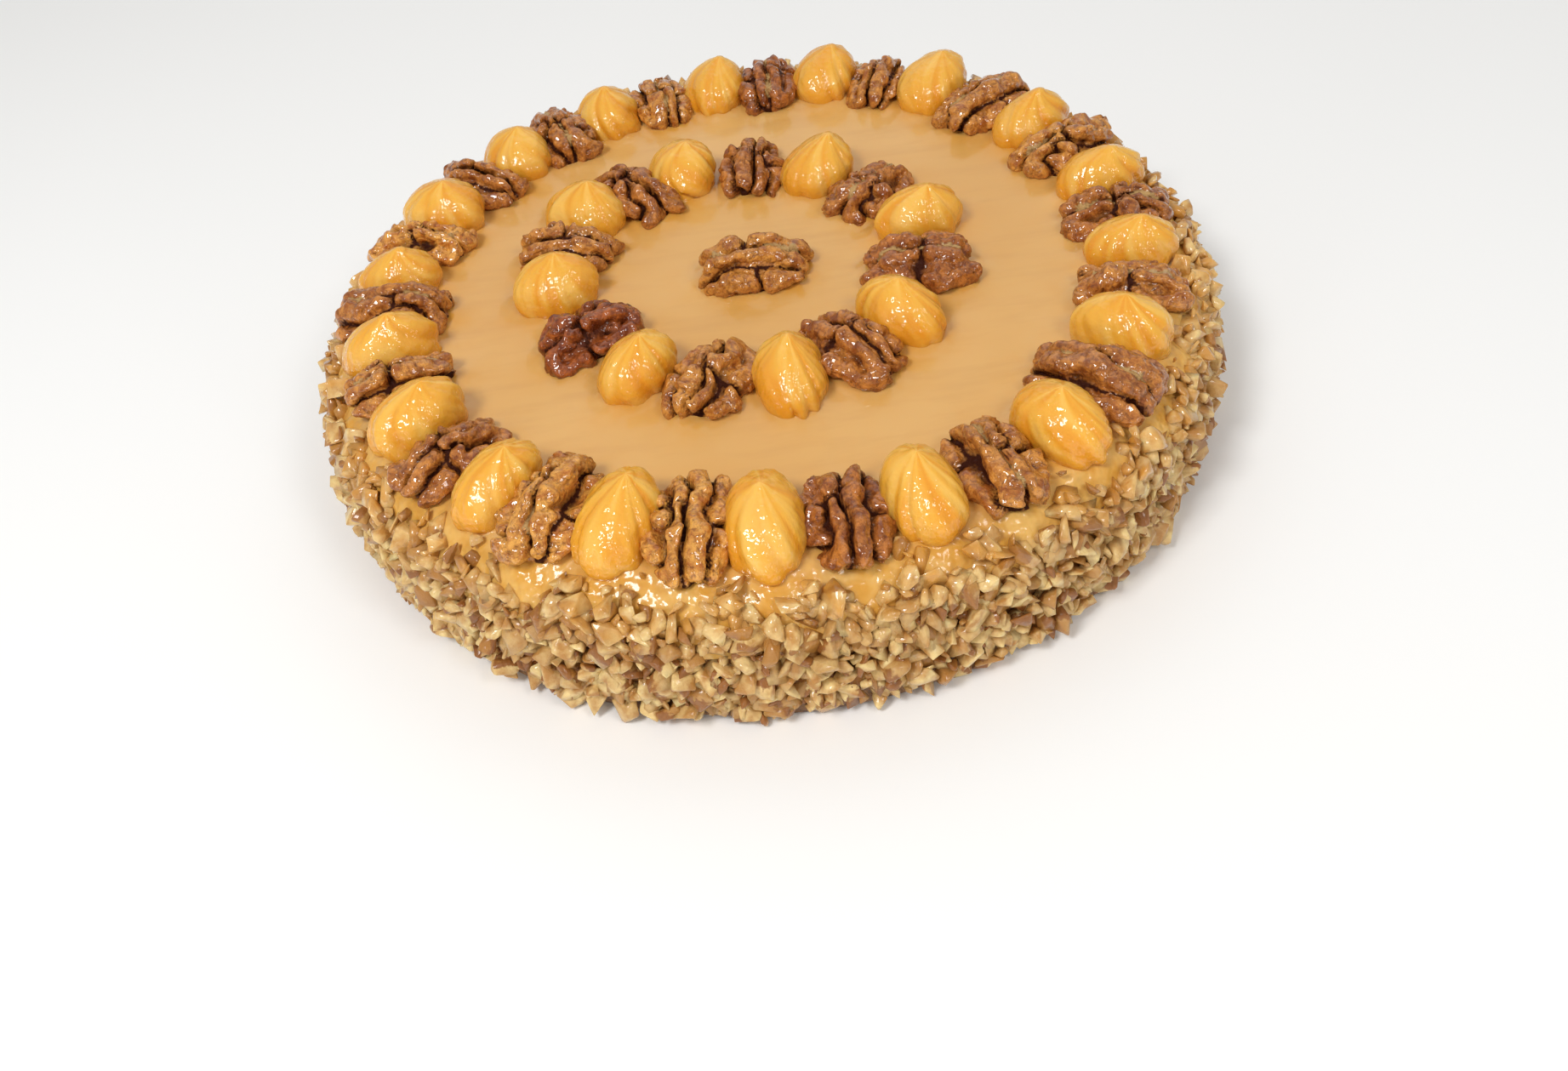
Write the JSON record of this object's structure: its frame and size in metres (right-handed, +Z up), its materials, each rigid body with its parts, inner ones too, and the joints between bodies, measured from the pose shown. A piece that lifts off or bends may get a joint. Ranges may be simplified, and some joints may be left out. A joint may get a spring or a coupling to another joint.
{
  "type": "walnut cake",
  "caption": "Round uncut layer cake: glossy caramel-coloured glaze, chopped walnuts round the side, and rings of piped rosettes and walnut halves with one half at the centre",
  "frame": {"origin": "on the plane that the cake stands on, under the middle of the cake", "axes": "+Z up out of the cake's top; +X to the right and +Y away, as the decoration is seen from the front"},
  "size_m": [0.2579, 0.2579, 0.0554],
  "materials": {
    "coat": "chopped walnuts in glaze",
    "glaze": "glossy set gel",
    "rosette": "piped egg cream under clear gel",
    "walnut": "glazed walnut kernel"
  },
  "bodies": {
    "root": {"cake": "coat", "glaze": "glaze", "rosette_inner_01": "rosette", "rosette_inner_02": "rosette", "rosette_inner_03": "rosette", "rosette_inner_04": "rosette", "rosette_inner_05": "rosette", "rosette_inner_06": "rosette", "rosette_inner_07": "rosette", "rosette_inner_08": "rosette", "rosette_outer_01": "rosette", "rosette_outer_02": "rosette", "rosette_outer_03": "rosette", "rosette_outer_04": "rosette", "rosette_outer_05": "rosette", "rosette_outer_06": "rosette", "rosette_outer_07": "rosette", "rosette_outer_08": "rosette", "rosette_outer_09": "rosette", "rosette_outer_10": "rosette", "rosette_outer_11": "rosette", "rosette_outer_12": "rosette", "rosette_outer_13": "rosette", "rosette_outer_14": "rosette", "rosette_outer_15": "rosette", "rosette_outer_16": "rosette", "rosette_outer_17": "rosette", "rosette_outer_18": "rosette", "walnut_centre": "walnut", "walnut_inner_01": "walnut", "walnut_inner_02": "walnut", "walnut_inner_03": "walnut", "walnut_inner_04": "walnut", "walnut_inner_05": "walnut", "walnut_inner_06": "walnut", "walnut_inner_07": "walnut", "walnut_inner_08": "walnut", "walnut_outer_01": "walnut", "walnut_outer_02": "walnut", "walnut_outer_03": "walnut", "walnut_outer_04": "walnut", "walnut_outer_05": "walnut", "walnut_outer_06": "walnut", "walnut_outer_07": "walnut", "walnut_outer_08": "walnut", "walnut_outer_09": "walnut", "walnut_outer_10": "walnut", "walnut_outer_11": "walnut", "walnut_outer_12": "walnut", "walnut_outer_13": "walnut", "walnut_outer_14": "walnut", "walnut_outer_15": "walnut", "walnut_outer_16": "walnut", "walnut_outer_17": "walnut", "walnut_outer_18": "walnut"}
  },
  "joints": []
}
